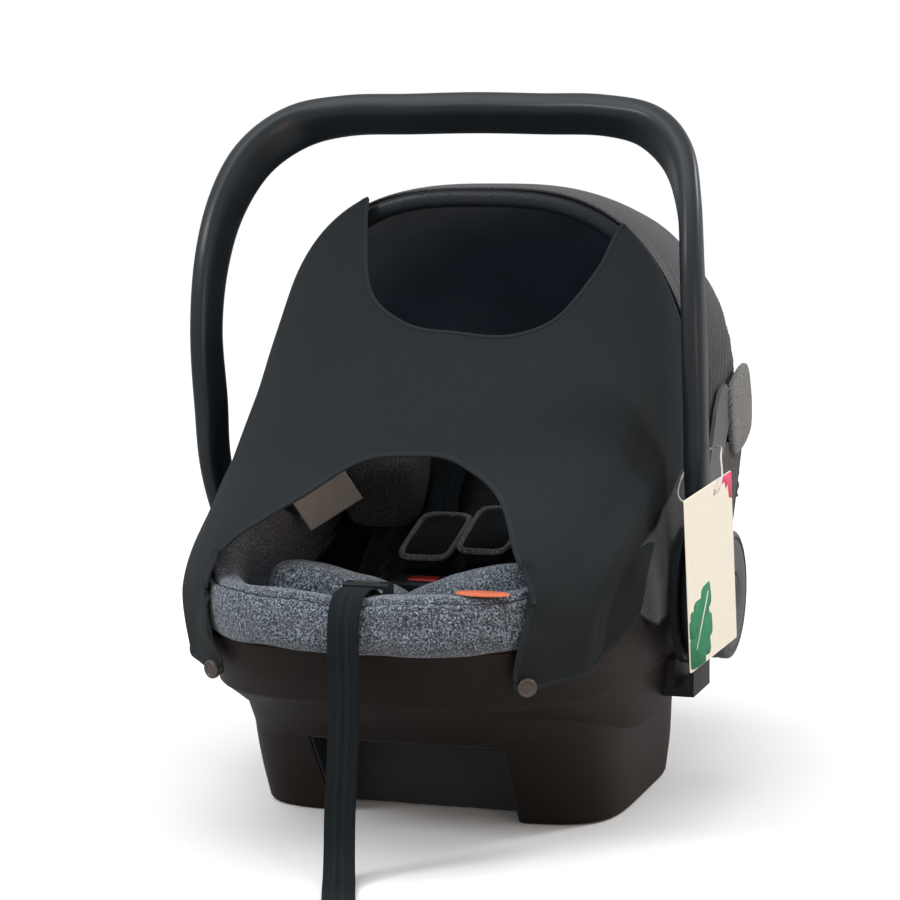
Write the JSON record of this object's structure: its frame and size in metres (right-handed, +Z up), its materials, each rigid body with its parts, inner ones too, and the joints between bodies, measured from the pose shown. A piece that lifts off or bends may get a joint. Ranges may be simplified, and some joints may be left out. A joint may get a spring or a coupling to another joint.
{
  "type": "infant car seat",
  "caption": "Infant carrier seat with a rocker base, padded cover, five-point harness, canopy with stretch sun drape and a turning carry handle.",
  "frame": {"origin": "on the floor, in the middle plane, at the middle of the base's cross rib; the handle axis is 16.5 mm towards the foot end and 170 mm up", "axes": "+X is the left-right axis (the side with the hang tag is +X), -Y the foot end, +Y the head end, +Z up"},
  "size_m": [0.4704, 0.7821, 0.5799],
  "materials": {
    "shell_plastic": "fine moulded grain, warm black",
    "black_plastic": "satin moulded",
    "grey_plastic": "satin moulded",
    "steel": "zinc plated",
    "foam": "expanded foam",
    "melange_fabric": "melange knit over padding",
    "tweed_fabric": "tweed weave",
    "stretch_fabric": "matt stretch jersey",
    "harness_fabric": "padded knit",
    "webbing": "woven webbing",
    "red_plastic": "glossy moulded",
    "coral_leather": "smooth leather",
    "white_textile": "woven label",
    "cream_card": "uncoated card"
  },
  "bodies": {
    "root": {"seat_shell": "shell_plastic", "lower_base": "shell_plastic", "front_recess": "shell_plastic", "foam_liner": "foam", "rear_belt_guide": "grey_plastic", "canopy_mount_left": "grey_plastic", "canopy_mount_right": "grey_plastic", "snap_cap_left": "grey_plastic", "snap_cap_right": "grey_plastic", "base_lock_bar_front": "steel", "base_lock_bar_rear": "steel", "base_screw_front_left": "steel", "base_screw_front_right": "steel", "base_screw_rear_left": "steel", "base_screw_rear_right": "steel", "pivot_pin_left": "steel", "pivot_pin_right": "steel", "buckle_tongue_left": "steel", "buckle_tongue_right": "steel", "buckle_housing": "black_plastic", "adjuster_slot": "black_plastic", "hub_housing_left": "black_plastic", "hub_housing_right": "black_plastic", "belt_guide_left": "black_plastic", "belt_guide_right": "black_plastic", "rim_pad": "melange_fabric", "head_cushion": "melange_fabric", "side_bolster_left": "melange_fabric", "side_bolster_right": "melange_fabric", "lap_pad_left": "melange_fabric", "lap_pad_right": "melange_fabric", "seat_cushion": "tweed_fabric", "back_cushion": "tweed_fabric", "canopy_fabric": "tweed_fabric", "sun_drape": "stretch_fabric", "crotch_pad": "harness_fabric", "shoulder_pad_left": "harness_fabric", "shoulder_pad_right": "harness_fabric", "crotch_strap": "webbing", "adjuster_strap": "webbing", "shoulder_strap_left": "webbing", "shoulder_strap_right": "webbing", "leather_label": "coral_leather", "textile_label": "white_textile"},
    "handle": {"handle_bow": "black_plastic", "hub_cap_left": "black_plastic", "hub_cap_right": "black_plastic", "lock_spring_left": "steel", "lock_spring_right": "steel", "tag_tie": "white_textile"},
    "release_left": {"handle_button_left": "grey_plastic", "lock_ring_left": "steel"},
    "release_right": {"handle_button_right": "grey_plastic", "lock_ring_right": "steel"},
    "canopy_hoop": {"canopy_hoop": "black_plastic"},
    "canopy_rib": {"canopy_rib": "steel"},
    "buckle_button": {"buckle_button": "red_plastic"},
    "adjuster_button": {"adjuster_button": "grey_plastic"},
    "hang_tag": {"hang_tag": "cream_card"}
  },
  "joints": [
    {"name": "handle_turn", "type": "hinge", "parent": "root", "child": "handle", "pos_m": [0, -0.0165, 0.17], "axis": [1, 0, 0], "range_deg": [-100, 60]},
    {"name": "release_left_press", "type": "slide", "parent": "handle", "child": "release_left", "axis": [1, 0, 0], "range_m": [0, 0.004], "stiffness_N_per_m": 800, "springref_m": -0.003, "deforming": ["lock_spring_left"]},
    {"name": "release_right_press", "type": "slide", "parent": "handle", "child": "release_right", "axis": [-1, 0, 0], "range_m": [0, 0.004], "stiffness_N_per_m": 800, "springref_m": -0.003, "deforming": ["lock_spring_right"]},
    {"name": "canopy_tilt", "type": "hinge", "parent": "root", "child": "canopy_hoop", "pos_m": [0, 0.04, 0.24], "axis": [1, 0, 0], "range_deg": [-25, 0], "deforming": ["canopy_fabric", "sun_drape"]},
    {"name": "rib_tilt", "type": "hinge", "parent": "root", "child": "canopy_rib", "pos_m": [0, 0.04, 0.24], "axis": [1, 0, 0], "range_deg": [-12.5, 0]},
    {"name": "buckle_press", "type": "slide", "parent": "root", "child": "buckle_button", "axis": [0, 0, -1], "range_m": [0, 0.0015], "stiffness_N_per_m": 600, "springref_m": -0.002},
    {"name": "adjuster_press", "type": "slide", "parent": "root", "child": "adjuster_button", "axis": [0, 0, -1], "range_m": [0, 0.001], "stiffness_N_per_m": 600, "springref_m": -0.002},
    {"name": "tag_swing", "type": "hinge", "parent": "handle", "child": "hang_tag", "pos_m": [0.2365, -0.1383, 0.2732], "axis": [1, 0, 0], "range_deg": [-60, 100], "deforming": ["tag_tie"]}
  ],
  "couplings": [
    {"joint": "rib_tilt", "follows": "canopy_tilt", "ratio": 0.5},
    {"joint": "tag_swing", "follows": "handle_turn", "ratio": -1}
  ]
}
